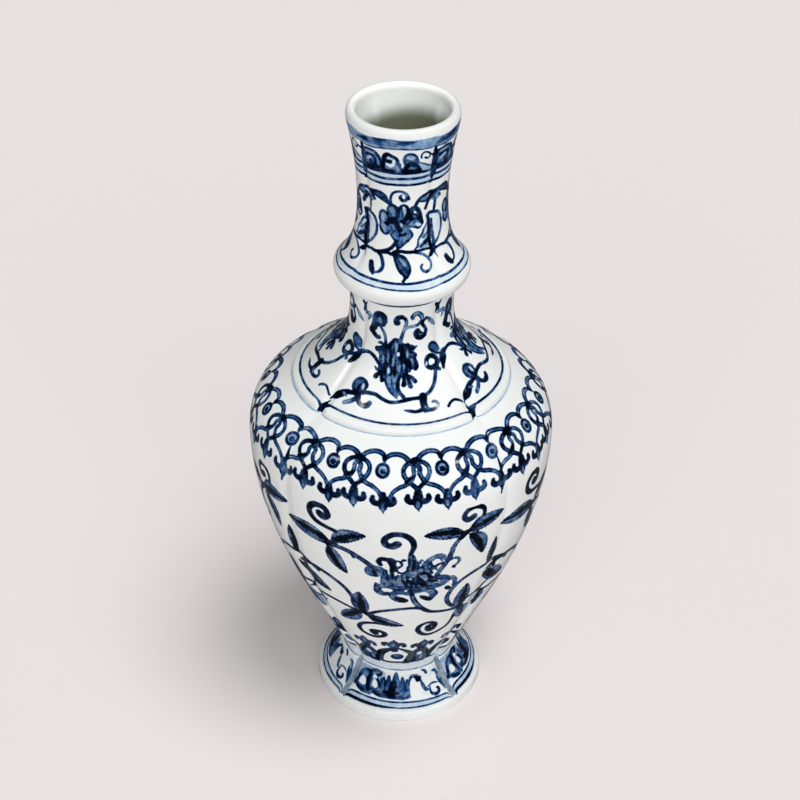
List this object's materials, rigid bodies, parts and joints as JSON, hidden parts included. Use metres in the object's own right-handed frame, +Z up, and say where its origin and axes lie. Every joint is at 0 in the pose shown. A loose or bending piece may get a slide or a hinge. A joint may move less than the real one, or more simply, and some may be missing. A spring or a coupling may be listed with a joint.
{
  "type": "lobed vase",
  "caption": "Tall four-lobed porcelain vase with a flared mouth, flanged neck, stepped shoulder, ovoid body and spreading foot, for cut flowers or display.",
  "frame": {"origin": "centre of the foot's rest, on the surface the vase stands on", "axes": "+Z up along the vase's axis; the middle of one lobe faces -Y and the four grooves lie midway between the X and Y axes"},
  "size_m": [0.1854, 0.1854, 0.42],
  "materials": {
    "glazed_porcelain": "clear glossy glaze over cobalt painting on white porcelain"
  },
  "bodies": {
    "root": {"foot": "glazed_porcelain", "lower_body": "glazed_porcelain", "upper_body": "glazed_porcelain", "neck": "glazed_porcelain", "mouth": "glazed_porcelain"}
  },
  "joints": []
}
